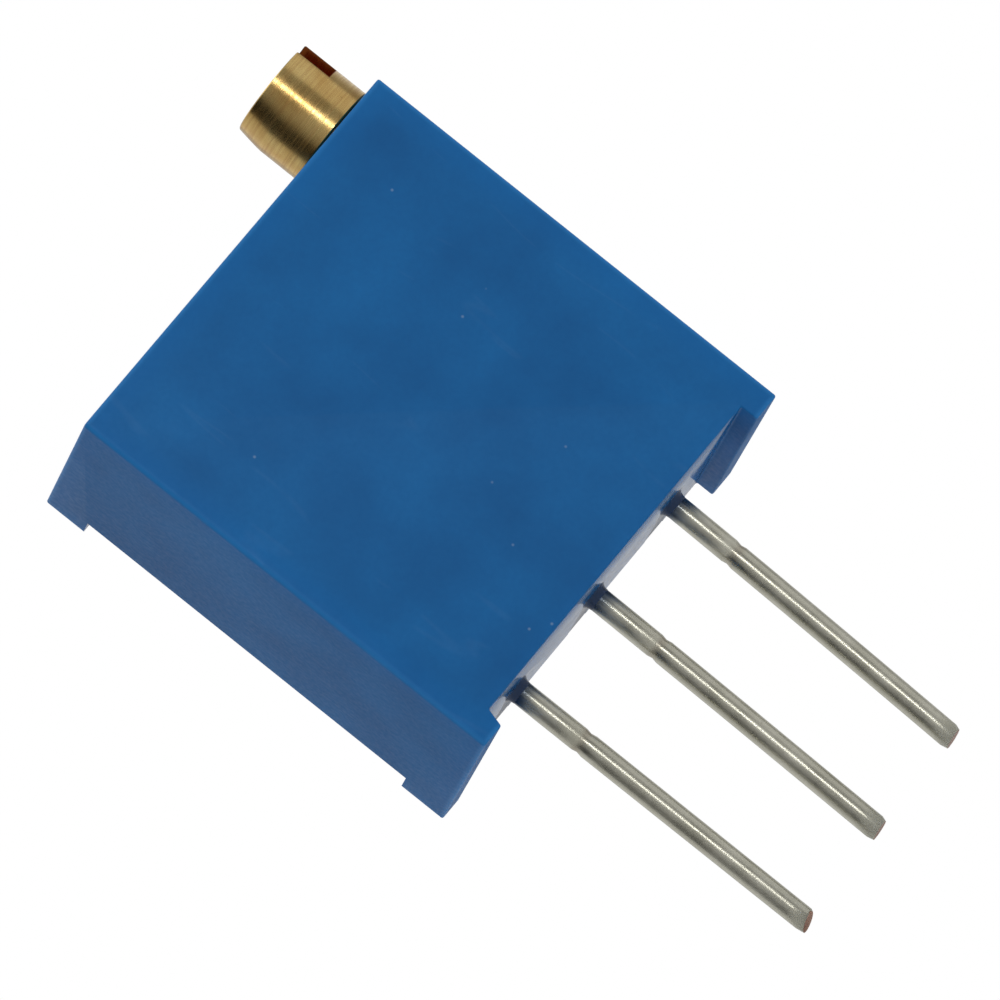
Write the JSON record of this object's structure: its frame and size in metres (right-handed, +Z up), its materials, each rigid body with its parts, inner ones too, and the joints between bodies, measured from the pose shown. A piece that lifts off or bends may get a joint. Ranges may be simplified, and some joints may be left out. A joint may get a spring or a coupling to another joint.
{
  "type": "trimmer potentiometer",
  "caption": "Upright square trimmer potentiometer: a slotted brass screw on top turns a worm and a wiper inside a sealed blue housing on straight wire pins.",
  "frame": {"origin": "on the middle pin's axis, level with the undersides of the two feet that stand on the circuit board", "axes": "+Z up, against the pins, towards the adjustment screw; +Y from the flat front face to the recessed back; +X along the row of pins, to the side that the screw is on"},
  "size_m": [0.0096, 0.0048, 0.0186],
  "materials": {
    "housing": "moulded, fine satin, blue",
    "epoxy": "cast epoxy, smooth, dark blue",
    "brass": "turned, fine tool lines",
    "seal_rubber": "smooth, black",
    "retainer_steel": "blanked sheet",
    "wheel_plastic": "moulded, natural",
    "wiper_metal": "rolled spring strip",
    "ceramic": "fired alumina, matt white",
    "track_ink": "fired resistive ink, dark grey",
    "contact_ink": "fired silver ink",
    "tinned_wire": "drawn wire, tin plated, semi-bright",
    "solder": "solder, bright"
  },
  "bodies": {
    "case": {"housing": "housing", "epoxy_seal": "epoxy", "screw_retainer": "retainer_steel", "ceramic_plate": "ceramic", "resistive_track": "track_ink", "collector_print": "contact_ink", "left_end_print": "contact_ink", "right_end_print": "contact_ink", "left_pin": "tinned_wire", "middle_pin": "tinned_wire", "right_pin": "tinned_wire", "left_solder_joint": "solder", "middle_solder_joint": "solder", "right_solder_joint": "solder"},
    "screw": {"adjustment_screw": "brass", "screw_seal": "seal_rubber"},
    "rotor": {"worm_wheel": "wheel_plastic", "wiper_spring": "wiper_metal"}
  },
  "joints": [
    {"name": "screw_turn", "type": "hinge", "parent": "case", "child": "screw", "pos_m": [0.00362, -0.00127, 0.01003], "axis": [0, 0, 1], "range_deg": [-4500, 4500]},
    {"name": "wiper_turn", "type": "hinge", "parent": "case", "child": "rotor", "pos_m": [-0.00041, -0.00127, 0.00502], "axis": [0, 1, 0], "range_deg": [-150, 150]}
  ],
  "couplings": [
    {"joint": "wiper_turn", "follows": "screw_turn", "ratio": 0.033333}
  ]
}
